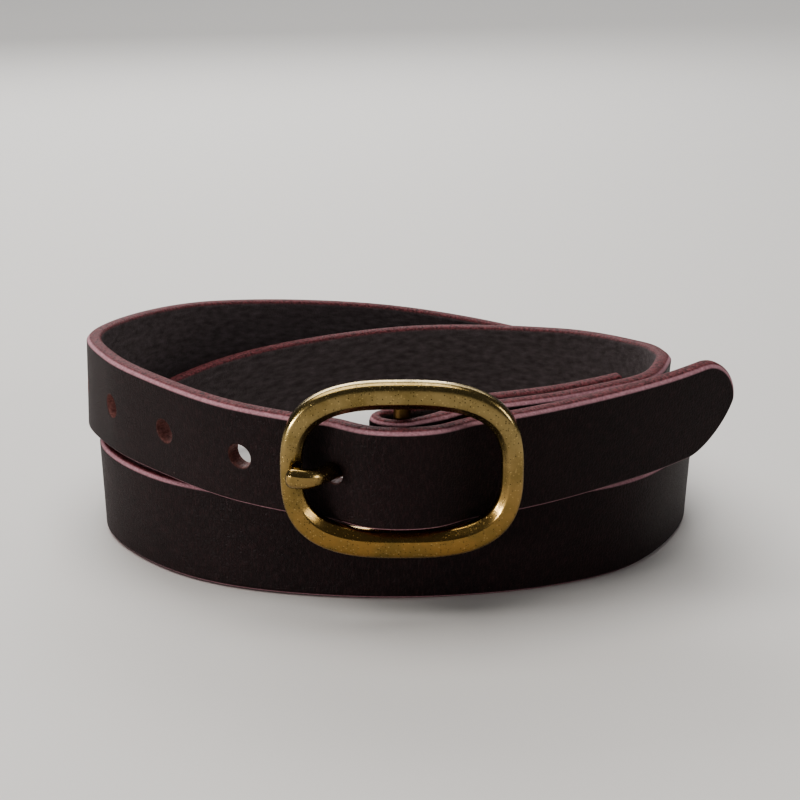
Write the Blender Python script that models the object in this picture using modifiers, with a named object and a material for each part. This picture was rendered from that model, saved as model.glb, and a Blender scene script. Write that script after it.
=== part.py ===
"""Leather belt: a bridle-leather strap wound twice round and fastened through a brass centre-bar buckle.

World frame: the coiled belt stands on its edge on the plane Z = 0, the buckle faces -Y, +X is to its right.
Plan places are given in two ways, both in millimetres: polar (degrees from the front, counter-clockwise from
above, and radius from the middle of the coil), and front (distance to the right of the bar, and how far the
place stands proud of the middle plane of the buckle frame).
"""
import math

import bmesh
import bpy
import numpy as np
from mathutils import Vector

MM = 0.001
GAP = 0.3

# Middle of the coil in plan; it puts the middle of the whole belt's box over the origin.
COIL_X = 1.38
COIL_Y = 2.18

# Strap
STRAP_WIDTH = 25.4
STRAP_THICKNESS = 4.0
EDGE_CHAMFER = 0.8
SKIVED_THICKNESS = 2.8
SKIVE_HALF_LENGTH = 13.0
SKIVE_FADE = 6.0
POINT_LENGTH = 14.0
STATION_SPACING = 6.5
BEND_STATION_SPACING = 1.4
TILT_HEIGHT = 6.0
HOLE_RADIUS = 3.1
HOLE_SPACING = 25.0
HOLE_COUNT = 5
PRONG_HOLE_LENGTH = 9.2
PRONG_HOLE_WIDTH = 6.8
FOLD_SLOT_LENGTH = 30.0
FOLD_SLOT_WIDTH = 9.4
PRONG_HOLE_X = -14.6
PRONG_HOLE_PROUD = -3.5
TIP_SPLIT_X = 31.5
TIP_SPLIT_PROUD = -9.7
END_STRETCH = 140.0

# Buckle
FRAME_PLANE = 81.5
BUCKLE_LEAN = 6.0
FRAME_WIDTH = 56.6
FRAME_HEIGHT = 44.6
FRAME_DEPTH = 4.2
SIDE_RAIL = 5.3
TOP_RAIL = 6.9
FRAME_ROUNDING = 1.1
OUTER_POWER = 2.8
INNER_POWER = 3.5
OUTLINE_POINTS = 72
BAR_SETBACK = 5.6
BAR_RADIUS = 2.0
BAR_END_INSET = 0.5
LUG_WIDTH = 5.2
LUG_COVER = 0.45
LUG_SINK = 1.2
LUG_INSET = 0.2
STRAP_SITS_LOW = 0.9

# Prong
PRONG_WIDTH = 4.2
PRONG_THICKNESS = 3.2
PRONG_EYE_WALL = 1.5
PRONG_ROUNDING = 0.7
PRONG_LOW = 2.0
PRONG_SKEW = -3.5

# Screw sets of the fold
POST_DISTANCES = (26.5, 44.5)
HEAD_RADIUS = 4.6
HEAD_THICKNESS = 0.9
SEAT_GAP = 0.8
BARREL_RADIUS = 2.5
SHANK_RADIUS = 1.5
DRIVER_SLOT_WIDTH = 1.2
DRIVER_SLOT_DEPTH = 0.45
HEAD_ROUNDING = 0.3
BORE_END_WALL = 0.4
TURNING_STEPS = 32

LEATHER = ("leather", (0.030, 0.012, 0.013), 0.38, 0.0)
BRASS = ("brass", (0.62, 0.46, 0.20), 0.30, 1.0)
SCREW_BRASS = ("screw_brass", (0.58, 0.42, 0.19), 0.35, 1.0)

# The free end: front places, height of the lower edge and outward lean in degrees.
TAIL_KNOTS = (
    (8.0, 0.6, 23.2, 6.0),
    (16.0, -4.5, 23.6, 6.0),
    (23.0, -6.7, 24.1, 6.0),
    (36.0, -11.8, 25.2, 6.5),
    (50.0, -18.9, 26.6, 8.0),
    (64.0, -27.5, 28.1, 9.0),
    (81.0, -39.0, 30.4, 10.0),
)
# The turned-back leg behind the strap, from its end to the bar, and the strap in front of it.
LEG_KNOTS = (
    (51.5, -30.2, 27.3, 7.0),
    (47.0, -27.4, 27.0, 6.5),
    (36.0, -21.7, 26.5, 6.0),
    (23.0, -17.0, 26.2, 6.0),
    (16.0, -14.8, 26.0, 6.0),
    (8.0, -11.1, 25.4, 6.0),
)
START_KNOTS = (
    (8.0, -4.5, 24.7, 6.0),
    (16.0, -9.9, 25.5, 6.0),
    (23.0, -12.0, 25.7, 6.0),
    (36.0, -16.7, 26.1, 6.5),
    (47.0, -22.3, 26.7, 7.5),
    (58.0, -29.4, 27.3, 8.0),
)
FOLD_LOW = 24.2
BAR_BEND_REACH = 6.2
BAR_BEND_ANGLES = (270.0, 240.0, 210.0, 180.0, 150.0, 120.0, 90.0)
# The two turns: polar places, height of the lower edge and outward lean.
TURN_KNOTS = (
    (62.0, 73.2, 26.6, 6.0),
    (78.0, 68.8, 23.2, 1.0),
    (100.0, 66.7, 18.7, -2.0),
    (135.0, 65.5, 13.8, -5.0),
    (180.0, 64.5, 10.0, -8.0),
    (225.0, 68.0, 6.2, -8.0),
    (258.0, 75.4, 2.0, -3.0),
    (283.0, 79.2, 0.0, 2.5),
    (307.0, 76.3, 0.0, 3.5),
    (327.0, 71.8, 0.0, 0.5),
    (360.0, 66.6, 0.0, 0.0),
    (392.0, 70.3, 0.0, 4.0),
    (414.0, 74.2, 0.0, 6.0),
    (450.0, 76.0, 0.0, 2.5),
    (495.0, 77.8, 5.8, -3.5),
    (540.0, 79.8, 12.4, -6.0),
    (585.0, 81.2, 19.4, -6.0),
    (630.0, 82.2, 25.0, -2.0),
    (652.0, 79.6, 26.2, 2.0),
    (670.0, 77.4, 25.9, 5.0),
    (688.0, 77.8, 24.7, 6.0),
)
APPROACH_KNOTS = (
    (-23.0, -6.7, 23.7, 6.0),
    (-16.0, -4.5, 23.4, 6.0),
    (-8.0, 0.6, 23.1, 6.0),
    (0.0, 1.8, 23.0, 6.0),
)


def front_place(across, proud):
    """Plan position of a place given in front coordinates."""
    return COIL_X + across, COIL_Y - (FRAME_PLANE + proud)


def polar_place(degrees, radius):
    """Plan position of a place given in polar coordinates."""
    turn = math.radians(degrees)
    return COIL_X + radius * math.sin(turn), COIL_Y - radius * math.cos(turn)


def bar_bend_knots():
    """Knots of the bend round the bar, from behind it, past its left, to its front."""
    bend_depth = BAR_RADIUS + GAP + SKIVED_THICKNESS / 2
    knots = []
    for degrees in BAR_BEND_ANGLES:
        turn = math.radians(degrees)
        across = BAR_BEND_REACH * math.cos(turn)
        proud = -BAR_SETBACK + bend_depth * math.sin(turn)
        low = FOLD_LOW - (proud + BAR_SETBACK) * math.sin(math.radians(BUCKLE_LEAN))
        knots.append((*front_place(across, proud), low, BUCKLE_LEAN))
    return knots


def strap_knots():
    """All knots of the strap's middle line in order: x, y, height of the lower edge, lean."""
    knots = [(*front_place(a, p), low, lean) for a, p, low, lean in LEG_KNOTS]
    knots += bar_bend_knots()
    knots += [(*front_place(a, p), low, lean) for a, p, low, lean in START_KNOTS]
    knots += [(*polar_place(d, r), low, lean) for d, r, low, lean in TURN_KNOTS]
    knots += [(*front_place(a, p), low, lean) for a, p, low, lean in APPROACH_KNOTS]
    knots += [(*front_place(a, p), low, lean) for a, p, low, lean in TAIL_KNOTS]
    return np.array(knots)


class StrapPath:
    """The strap's middle line, read by the distance along it."""

    SAMPLE_STEP = 0.4

    def __init__(self, knots):
        spans = np.linalg.norm(np.diff(knots[:, :3], axis=0), axis=1)
        marks = np.concatenate([[0.0], np.cumsum(np.sqrt(spans))])
        slopes = np.gradient(knots, marks, axis=0)
        rows = []
        for i, span in enumerate(spans):
            width = marks[i + 1] - marks[i]
            steps = np.arange(0.0, 1.0, self.SAMPLE_STEP / span)[:, None]
            rows.append(
                knots[i] * (1 + 2 * steps) * (1 - steps) ** 2
                + slopes[i] * width * steps * (1 - steps) ** 2
                + knots[i + 1] * steps ** 2 * (3 - 2 * steps)
                + slopes[i + 1] * width * steps ** 2 * (steps - 1)
            )
        rows.append(knots[-1:])
        self.samples = np.vstack(rows)
        self.samples[:, 2] = np.maximum(self.samples[:, 2], 0.0)
        steps = np.linalg.norm(np.diff(self.samples[:, :3], axis=0), axis=1)
        self.distances = np.concatenate([[0.0], np.cumsum(steps)])
        self.length = float(self.distances[-1])
        tangents = np.gradient(self.samples[:, :2], self.distances, axis=0)
        self.tangents = tangents / np.linalg.norm(tangents, axis=1)[:, None]

    def read(self, table, distance):
        """A row of one of the path's tables at a distance along it."""
        return [float(np.interp(distance, self.distances, column)) for column in table.T]

    def nearest(self, place, first, last):
        """Distance along the path of its nearest point to a plan place, between two distances."""
        away = np.linalg.norm(self.samples[:, :2] - np.array(place), axis=1)
        away[(self.distances < first) | (self.distances > last)] = np.inf
        return float(self.distances[int(np.argmin(away))])

    def frame(self, distance):
        """Middle point and the directions along, up and out of the strap, at a distance along the path.

        Where the strap stands on the surface its edges stay level, and clear of it the whole section tilts.
        """
        x, y, low, lean = self.read(self.samples, distance)
        along = Vector((*self.read(self.tangents, distance), 0.0)).normalized()
        level = Vector((along.y, -along.x, 0.0))
        radial = Vector((x - COIL_X, y - COIL_Y, 0.0)).normalized()
        sheared = Vector((0.0, 0.0, 1.0)) + radial * math.tan(math.radians(lean))
        clear = min(low / TILT_HEIGHT, 1.0)
        up = sheared.lerp(sheared.normalized(), clear)
        outward = level.lerp(along.cross(sheared).normalized(), clear)
        return Vector((x, y, low + STRAP_WIDTH / 2)), along, up, outward


class Strap:
    """Places along the wound strap and the change from the flat blank to the wound shape."""

    def __init__(self):
        self.path = StrapPath(strap_knots())
        bar = front_place(0.0, -BAR_SETBACK)
        left_of_bar = (bar[0] - 2 * BAR_RADIUS, bar[1])
        self.fold_middle = self.path.nearest(left_of_bar, 0.0, END_STRETCH)
        last_stretch = (self.path.length - END_STRETCH, self.path.length)
        self.split = self.path.nearest(front_place(TIP_SPLIT_X, TIP_SPLIT_PROUD), *last_stretch)
        self.prong_hole = self.path.nearest(front_place(PRONG_HOLE_X, PRONG_HOLE_PROUD), *last_stretch)

    def thickness(self, distance):
        """Leather thickness, which is pared down where it bends round the bar."""
        beyond = abs(distance - self.fold_middle) - SKIVE_HALF_LENGTH
        full = min(max(beyond / SKIVE_FADE, 0.0), 1.0)
        return SKIVED_THICKNESS + (STRAP_THICKNESS - SKIVED_THICKNESS) * full

    def wind(self, distance, across, proud):
        """World position in metres of a point of the flat blank."""
        middle, _, up, outward = self.path.frame(distance)
        proud *= self.thickness(distance) / STRAP_THICKNESS
        return (middle + up * across + outward * proud) * MM


def material(spec):
    """A Principled material from a (name, colour, roughness, metallic) tuple."""
    name, colour, roughness, metallic = spec
    made = bpy.data.materials.get(name)
    if made is None:
        made = bpy.data.materials.new(name)
        made.use_nodes = True
        shader = made.node_tree.nodes["Principled BSDF"]
        shader.inputs["Base Color"].default_value = (*colour, 1.0)
        shader.inputs["Roughness"].default_value = roughness
        shader.inputs["Metallic"].default_value = metallic
        made.diffuse_color = (*colour, 1.0)
    return made


def add_object(name, data, collection, spec=None):
    """Link a new object holding the data."""
    made = bpy.data.objects.new(name, data)
    collection.objects.link(made)
    if spec:
        data.materials.append(material(spec))
    return made


def add_modifier(target, name, kind, **settings):
    """Add a modifier and set its values."""
    modifier = target.modifiers.new(name, kind)
    for key, value in settings.items():
        setattr(modifier, key, value)
    return modifier


def bevel(target, width, segments=1):
    """Round the sharp edges of an object."""
    return add_modifier(target, "rounding", "BEVEL", width=width * MM, segments=segments,
                        limit_method="ANGLE", angle_limit=math.radians(40))


def boolean(target, other, operation):
    """Cut another object from the target or join it to the target."""
    return add_modifier(target, other.name, "BOOLEAN", object=other, operation=operation, solver="EXACT")


def hide_as_cutter(cutter):
    """Show a cutter as wire only and keep it out of the build."""
    cutter.hide_render = True
    cutter.display_type = "WIRE"
    return cutter


def shade_smooth(target, degrees=35):
    """Smooth shading with sharp edges kept."""
    target.data.shade_smooth()
    target.data.set_sharp_from_angle(angle=math.radians(degrees))


def bake(target):
    """Replace an object's mesh with its evaluated one and drop its modifiers."""
    graph = bpy.context.evaluated_depsgraph_get()
    evaluated = target.evaluated_get(graph)
    mesh = bpy.data.meshes.new_from_object(evaluated, depsgraph=graph)
    target.modifiers.clear()
    target.data = mesh
    return mesh


def stadium_cutter(name, length, width, centre, collection):
    """A slot-shaped cutter through the flat blank, lying along it; a round one if length equals width."""
    radius = width / 2
    straight = (length - width) / 2
    outline = []
    for side, start in ((1.0, -90.0), (-1.0, 90.0)):
        for i in range(9):
            turn = math.radians(start + 22.5 * i)
            outline.append((side * straight + radius * math.cos(turn), radius * math.sin(turn)))
    if straight == 0.0:
        outline = [point for i, point in enumerate(outline) if i not in (8, 17)]
    return prism(name, outline, centre, STRAP_THICKNESS, collection)


def prism(name, outline, centre, half_depth, collection):
    """A closed upright prism from an outline in flat millimetres, as a wire cutter."""
    mesh = bpy.data.meshes.new(name)
    shape = bmesh.new()
    corners = [shape.verts.new(((centre[0] + x) * MM, (centre[1] + y) * MM, (centre[2] - half_depth) * MM))
               for x, y in outline]
    floor = shape.faces.new(corners)
    raised = bmesh.ops.extrude_face_region(shape, geom=[floor])
    top = [item for item in raised["geom"] if isinstance(item, bmesh.types.BMVert)]
    bmesh.ops.translate(shape, verts=top, vec=(0.0, 0.0, 2 * half_depth * MM))
    bmesh.ops.recalc_face_normals(shape, faces=shape.faces)
    shape.to_mesh(mesh)
    shape.free()
    return hide_as_cutter(add_object(name, mesh, collection))


def blank_stations(strap, first, last):
    """Distances of the blank's cross-sections, closer together round the bar."""
    bend_first = strap.fold_middle - SKIVE_HALF_LENGTH
    bend_last = strap.fold_middle + SKIVE_HALF_LENGTH
    stations = []
    for start, end, spacing in (
        (first, bend_first, STATION_SPACING),
        (max(first, bend_first), bend_last, BEND_STATION_SPACING),
        (max(first, bend_last), last, STATION_SPACING),
    ):
        if end > start:
            count = max(1, round((end - start) / spacing))
            stations += list(np.linspace(start, end, count, endpoint=False))
    return stations + [last]


def flat_blank(name, strap, stations, half_widths, collection):
    """The flat strap blank as a plate: one column of the grid for each station."""
    columns = len(stations)
    shape = bmesh.new()
    bmesh.ops.create_grid(shape, x_segments=columns - 1, y_segments=1, size=0.5)
    for vertex in shape.verts:
        column = round((vertex.co.x + 0.5) * (columns - 1))
        side = math.copysign(1.0, vertex.co.y)
        vertex.co = Vector((stations[column] * MM, side * half_widths[column] * MM, 0.0))
    mesh = bpy.data.meshes.new(name)
    shape.to_mesh(mesh)
    shape.free()
    blank = add_object(name, mesh, collection, LEATHER)
    add_modifier(blank, "plate", "SOLIDIFY", thickness=STRAP_THICKNESS * MM, offset=0.0)
    bevel(blank, EDGE_CHAMFER)
    return blank


def wind_blank(blank, strap):
    """Triangulate the cut blank while it is flat, then wind it along the path."""
    mesh = bake(blank)
    shape = bmesh.new()
    shape.from_mesh(mesh)
    bmesh.ops.triangulate(shape, faces=shape.faces)
    for vertex in shape.verts:
        vertex.co = strap.wind(*(vertex.co / MM))
    shape.to_mesh(mesh)
    shape.free()
    shade_smooth(blank)


def make_strap(strap, parts, cutters):
    """The strap without its free end: fold, both turns and the stretch through the buckle."""
    stations = blank_stations(strap, 0.0, strap.split - GAP / 2)
    blank = flat_blank("strap", strap, stations, [STRAP_WIDTH / 2] * len(stations), parts)
    slot = stadium_cutter("prong_slot_cutter", FOLD_SLOT_LENGTH, FOLD_SLOT_WIDTH,
                          (strap.fold_middle, 0.0, 0.0), cutters)
    boolean(blank, slot, "DIFFERENCE")
    used = stadium_cutter("used_hole_cutter", PRONG_HOLE_LENGTH, PRONG_HOLE_WIDTH,
                          (strap.prong_hole, 0.0, 0.0), cutters)
    boolean(blank, used, "DIFFERENCE")
    for i in range(1, HOLE_COUNT):
        centre = (strap.prong_hole - HOLE_SPACING * i, 0.0, 0.0)
        hole = stadium_cutter(f"hole_cutter_{i}", 2 * HOLE_RADIUS, 2 * HOLE_RADIUS, centre, cutters)
        boolean(blank, hole, "DIFFERENCE")
    for label, distances in post_places(strap).items():
        for side, distance in distances.items():
            centre = (distance, 0.0, 0.0)
            bore = 2 * (BARREL_RADIUS + SEAT_GAP)
            boolean(blank, stadium_cutter(f"{label}_{side}_bore", bore, bore, centre, cutters), "DIFFERENCE")
            seat = 2 * (HEAD_RADIUS + SEAT_GAP)
            outline_centre = (distance, 0.0, 1.5 * STRAP_THICKNESS - HEAD_THICKNESS - SEAT_GAP)
            boolean(blank, stadium_cutter(f"{label}_{side}_seat", seat, seat, outline_centre, cutters),
                    "DIFFERENCE")
    wind_blank(blank, strap)
    return blank


def make_strap_tip(strap, parts):
    """The free end beyond the buckle, with its rounded point."""
    straight_end = strap.path.length - POINT_LENGTH
    stations = blank_stations(strap, strap.split + GAP / 2, straight_end)
    half_widths = [STRAP_WIDTH / 2] * len(stations)
    for degrees in (20, 38, 53, 66, 77):
        turn = math.radians(degrees)
        stations.append(straight_end + POINT_LENGTH * math.sin(turn))
        half_widths.append(STRAP_WIDTH / 2 * math.cos(turn))
    blank = flat_blank("strap_tip", strap, stations, half_widths, parts)
    wind_blank(blank, strap)
    set_origin(blank, tip_hinge(strap)[0])
    return blank


def set_origin(target, place):
    """Move an object's origin to a world place in metres without moving its mesh."""
    for vertex in target.data.vertices:
        vertex.co -= place
    target.location = place


def tip_hinge(strap):
    """Place and axis of the line that the free end bends about: its outer face just past the buckle."""
    middle, _, up, outward = strap.path.frame(strap.split)
    return (middle + outward * STRAP_THICKNESS / 2) * MM, up.normalized()


def post_places(strap):
    """Distances along the strap, in the front layer and in the leg, of each screw set."""
    places = {}
    for label, reach in zip(("near", "far"), POST_DISTANCES):
        front = strap.fold_middle + reach
        middle, _, _, outward = strap.path.frame(front)
        behind = middle - outward * (STRAP_THICKNESS + GAP)
        leg = strap.path.nearest(behind.to_2d(), 0.0, strap.fold_middle)
        places[label] = {"front": front, "leg": leg}
    return places


def turned(name, profile, parts):
    """A round brass solid from a profile of (radius, height) points from its top, turned about local Z."""
    mesh = bpy.data.meshes.new(name)
    points = [(radius * MM, 0.0, height * MM) for radius, height in profile]
    mesh.from_pydata(points, [(i, i + 1) for i in range(len(points) - 1)], [])
    made = add_object(name, mesh, parts, SCREW_BRASS)
    add_modifier(made, "turning", "SCREW", steps=TURNING_STEPS, render_steps=TURNING_STEPS,
                 merge_threshold=0.00001, use_merge_vertices=True)
    return made


def make_screw_set(label, strap, parts, cutters):
    """A post with its head in the front layer, and the screw that enters it from the inner side."""
    distances = post_places(strap)[label]
    front, _, _, outward = strap.path.frame(distances["front"])
    leg_middle = strap.path.frame(distances["leg"])[0]
    post_top = STRAP_THICKNESS / 2
    screw_top = (leg_middle - front).dot(outward) - STRAP_THICKNESS / 2
    under_post_head = post_top - HEAD_THICKNESS
    under_screw_head = screw_top + HEAD_THICKNESS
    bore_end = under_post_head - BORE_END_WALL
    post = turned(f"post_{label}", (
        (0.0, post_top),
        (HEAD_RADIUS - HEAD_ROUNDING, post_top),
        (HEAD_RADIUS, post_top - HEAD_ROUNDING),
        (HEAD_RADIUS, under_post_head),
        (BARREL_RADIUS, under_post_head),
        (BARREL_RADIUS, under_screw_head + GAP),
        (SHANK_RADIUS + GAP, under_screw_head + GAP),
        (SHANK_RADIUS + GAP, bore_end),
        (0.0, bore_end),
    ), parts)
    screw = turned(f"screw_{label}", (
        (0.0, bore_end - GAP),
        (SHANK_RADIUS, bore_end - GAP),
        (SHANK_RADIUS, under_screw_head),
        (HEAD_RADIUS, under_screw_head),
        (HEAD_RADIUS, screw_top + HEAD_ROUNDING),
        (HEAD_RADIUS - HEAD_ROUNDING, screw_top),
        (0.0, screw_top),
    ), parts)
    slot = prism(f"driver_slot_{label}", rectangle(HEAD_RADIUS + 1.0, DRIVER_SLOT_WIDTH / 2),
                 (0.0, 0.0, screw_top), DRIVER_SLOT_DEPTH, cutters)
    boolean(screw, slot, "DIFFERENCE")
    rotation = outward.to_track_quat("Z", "Y")
    for item in (post, screw, slot):
        item.location = front * MM
        item.rotation_mode = "QUATERNION"
        item.rotation_quaternion = rotation


def rectangle(half_length, half_width):
    """Corners of a rectangle about the origin."""
    return [(-half_length, -half_width), (half_length, -half_width),
            (half_length, half_width), (-half_length, half_width)]


def oval(half_width, half_height, power):
    """Points of a squared oval."""
    points = []
    for i in range(OUTLINE_POINTS):
        turn = 2 * math.pi * i / OUTLINE_POINTS
        cosine, sine = math.cos(turn), math.sin(turn)
        points.append((
            half_width * math.copysign(abs(cosine) ** (2 / power), cosine),
            half_height * math.copysign(abs(sine) ** (2 / power), sine),
        ))
    return points


def filled_outline(name, outlines, half_depth):
    """A plate from closed outlines, holes among them, as a mesh object with welded caps."""
    curve = bpy.data.curves.new(name, "CURVE")
    curve.dimensions = "2D"
    curve.fill_mode = "BOTH"
    curve.extrude = half_depth * MM
    for outline in outlines:
        spline = curve.splines.new("POLY")
        spline.points.add(len(outline) - 1)
        spline.use_cyclic_u = True
        for point, (x, y) in zip(spline.points, outline):
            point.co = (x * MM, y * MM, 0.0, 1.0)
    guide = bpy.data.objects.new(name, curve)
    bpy.context.scene.collection.objects.link(guide)
    graph = bpy.context.evaluated_depsgraph_get()
    mesh = bpy.data.meshes.new_from_object(guide.evaluated_get(graph), depsgraph=graph)
    bpy.data.objects.remove(guide)
    shape = bmesh.new()
    shape.from_mesh(mesh)
    bmesh.ops.remove_doubles(shape, verts=shape.verts, dist=0.00001)
    bmesh.ops.recalc_face_normals(shape, faces=shape.faces)
    shape.to_mesh(mesh)
    shape.free()
    mesh.materials.clear()
    return mesh


def cylinder_along_y(name, radius, length, cutters, vertices=24):
    """A wire cylinder along local Y about the origin, used to join to a body or to cut it."""
    mesh = bpy.data.meshes.new(name)
    shape = bmesh.new()
    bmesh.ops.create_cone(shape, cap_ends=True, segments=vertices, radius1=radius * MM, radius2=radius * MM,
                          depth=length * MM)
    shape.to_mesh(mesh)
    shape.free()
    made = hide_as_cutter(add_object(name, mesh, cutters))
    made.rotation_euler = (math.radians(90), 0.0, 0.0)
    return made


def joining_block(name, low, high, cutters):
    """A box between two corners, used to join to another body."""
    middle = [(a + b) / 2 for a, b in zip(low, high)]
    outline = rectangle((high[0] - low[0]) / 2, (high[1] - low[1]) / 2)
    return prism(name, outline, middle, (high[2] - low[2]) / 2, cutters)


def make_buckle_frame(pivot, parts, cutters):
    """The oval frame with its centre bar and the two lugs that carry the bar behind the frame."""
    outer = oval(FRAME_WIDTH / 2, FRAME_HEIGHT / 2, OUTER_POWER)
    inner = oval(FRAME_WIDTH / 2 - SIDE_RAIL, FRAME_HEIGHT / 2 - TOP_RAIL, INNER_POWER)
    mesh = filled_outline("buckle_frame", (outer, inner), FRAME_DEPTH / 2)
    frame = add_object("buckle_frame", mesh, parts, BRASS)
    for vertex in mesh.vertices:
        vertex.co.z += BAR_SETBACK * MM
    frame.parent = pivot
    bevel(frame, FRAME_ROUNDING, segments=3)
    opening = FRAME_HEIGHT / 2 - TOP_RAIL
    lug_outer = opening + TOP_RAIL * LUG_COVER
    lug_reach = BAR_SETBACK - FRAME_DEPTH / 2 + LUG_SINK
    joins = [cylinder_along_y("bar_join", BAR_RADIUS, 2 * (lug_outer - BAR_END_INSET), cutters)]
    for label, side in (("top", 1.0), ("bottom", -1.0)):
        ends = sorted((side * (opening + LUG_INSET), side * lug_outer))
        joins.append(joining_block(f"lug_{label}_join", (-LUG_WIDTH / 2, ends[0], -BAR_RADIUS - LUG_INSET),
                                   (LUG_WIDTH / 2, ends[1], lug_reach), cutters))
    for item in joins:
        item.parent = pivot
        boolean(frame, item, "UNION")
    shade_smooth(frame)
    return frame


def prong_line():
    """Middle line of the tongue in the plane across the bar: distance to the right, distance in front."""
    over_rail = BAR_SETBACK + FRAME_DEPTH / 2 + GAP + PRONG_THICKNESS / 2
    return ((-1.5, 3.15), (-5.5, 1.2), (-9.5, 0.0), (-13.0, 0.7), (-15.8, 3.2), (-18.0, 6.2),
            (-20.3, 8.9), (-22.8, over_rail), (-24.6, over_rail), (-26.6, over_rail - 0.1))


def ribbon(points, half_thickness):
    """Closed outline of a line given a thickness."""
    line = np.array(points)
    along = np.gradient(line, axis=0)
    along /= np.linalg.norm(along, axis=1)[:, None]
    across = np.stack([-along[:, 1], along[:, 0]], axis=1) * half_thickness
    return [tuple(p) for p in line + across] + [tuple(p) for p in (line - across)[::-1]]


def smooth_line(points, per_span=4):
    """More points along a smooth curve through the given ones."""
    knots = np.array(points)
    spans = np.linalg.norm(np.diff(knots, axis=0), axis=1)
    marks = np.concatenate([[0.0], np.cumsum(spans)])
    slopes = np.gradient(knots, marks, axis=0)
    rows = []
    for i, span in enumerate(spans):
        for step in np.linspace(0.0, 1.0, per_span, endpoint=False):
            rows.append(knots[i] * (1 + 2 * step) * (1 - step) ** 2 + slopes[i] * span * step * (1 - step) ** 2
                        + knots[i + 1] * step ** 2 * (3 - 2 * step)
                        + slopes[i + 1] * span * step ** 2 * (step - 1))
    return rows + [knots[-1]]


def make_prong(pivot, parts, cutters):
    """The tongue, bent round the bar at its root."""
    mesh = filled_outline("prong", (ribbon(smooth_line(prong_line()), PRONG_THICKNESS / 2),), PRONG_WIDTH / 2)
    turn_upright = [(v.co.x, v.co.z, v.co.y) for v in mesh.vertices]
    for vertex, place in zip(mesh.vertices, turn_upright):
        vertex.co = Vector(place)
    mesh.flip_normals()
    prong = add_object("prong", mesh, parts, BRASS)
    bevel(prong, PRONG_ROUNDING, segments=2)
    eye_outer = BAR_RADIUS + GAP + PRONG_EYE_WALL
    eye = cylinder_along_y("prong_eye_join", eye_outer, PRONG_WIDTH, cutters, 32)
    bore = cylinder_along_y("prong_bore_cutter", BAR_RADIUS + GAP, PRONG_WIDTH * 3, cutters, 32)
    boolean(prong, eye, "UNION")
    boolean(prong, bore, "DIFFERENCE")
    eye.parent = prong
    bore.parent = prong
    prong.parent = pivot
    prong.location.y = -PRONG_LOW * MM
    prong.rotation_euler.z = math.radians(PRONG_SKEW)
    shade_smooth(prong)
    return prong


def make_pivot(parts):
    """Empty on the bar's axis: local X to the right, local Y up the bar, local Z towards the front."""
    pivot = bpy.data.objects.new("buckle_pivot", None)
    parts.objects.link(pivot)
    lean = math.radians(BUCKLE_LEAN)
    strap_middle = FOLD_LOW + STRAP_WIDTH / 2
    x, y = front_place(0.0, -BAR_SETBACK)
    up_bar = Vector((0.0, -math.sin(lean), math.cos(lean)))
    pivot.location = (Vector((x, y, strap_middle)) + up_bar * STRAP_SITS_LOW) * MM
    pivot.rotation_euler = (math.radians(90.0 + BUCKLE_LEAN), 0.0, 0.0)
    return pivot


def main():
    for item in list(bpy.data.objects):
        bpy.data.objects.remove(item)
    parts = bpy.data.collections.new("leather_belt")
    cutters = bpy.data.collections.new("cutters")
    bpy.context.scene.collection.children.link(parts)
    bpy.context.scene.collection.children.link(cutters)

    strap = Strap()
    make_strap(strap, parts, cutters)
    make_strap_tip(strap, parts)
    for label in ("near", "far"):
        make_screw_set(label, strap, parts, cutters)
    pivot = make_pivot(parts)
    make_buckle_frame(pivot, parts, cutters)
    make_prong(pivot, parts, cutters)


main()
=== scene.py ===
"""Looks of the leather belt: the coiled strap in dark burgundy bridle leather and its brass buckle.

Everything is in the CAD's own frame: metres, the coil stands on Z = 0, the buckle faces -Y and +X
is to its right. The belt's sizes here are in millimetres and turn into metres where a mesh is
made; materials, lights and floor are in metres. The strap is drawn flat, with its holes, and is
then wound along the same path as the CAD strap.
"""
import math

import bmesh
import bpy
import numpy as np
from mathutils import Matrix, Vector


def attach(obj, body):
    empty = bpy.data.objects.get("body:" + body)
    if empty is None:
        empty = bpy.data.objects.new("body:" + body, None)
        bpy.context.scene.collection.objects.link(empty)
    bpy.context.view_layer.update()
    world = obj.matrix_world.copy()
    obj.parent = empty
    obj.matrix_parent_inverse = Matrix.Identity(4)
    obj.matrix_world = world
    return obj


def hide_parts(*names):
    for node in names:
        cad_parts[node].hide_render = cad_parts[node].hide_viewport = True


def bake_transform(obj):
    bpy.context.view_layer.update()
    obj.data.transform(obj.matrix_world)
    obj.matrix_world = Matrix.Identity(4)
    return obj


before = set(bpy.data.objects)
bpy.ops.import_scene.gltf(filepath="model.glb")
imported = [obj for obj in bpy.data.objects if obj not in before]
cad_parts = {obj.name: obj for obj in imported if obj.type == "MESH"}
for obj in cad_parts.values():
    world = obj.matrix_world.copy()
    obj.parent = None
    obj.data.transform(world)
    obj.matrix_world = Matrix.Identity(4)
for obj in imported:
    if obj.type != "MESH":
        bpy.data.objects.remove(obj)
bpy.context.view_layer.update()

MM = 0.001

# ---------------------------------------------------------------- strap path, as in the CAD part
COIL_X = 1.38
COIL_Y = 2.18
STRAP_WIDTH = 25.4
STRAP_THICKNESS = 4.0
SKIVED_THICKNESS = 2.8
SKIVE_HALF_LENGTH = 13.0
SKIVE_FADE = 6.0
TILT_HEIGHT = 6.0
FRAME_PLANE = 81.5
BAR_SETBACK = 5.6
BAR_RADIUS = 2.0
BUCKLE_LEAN = 6.0
FOLD_LOW = 24.2
GAP = 0.3
SAMPLE_SPACING = 0.4

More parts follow.
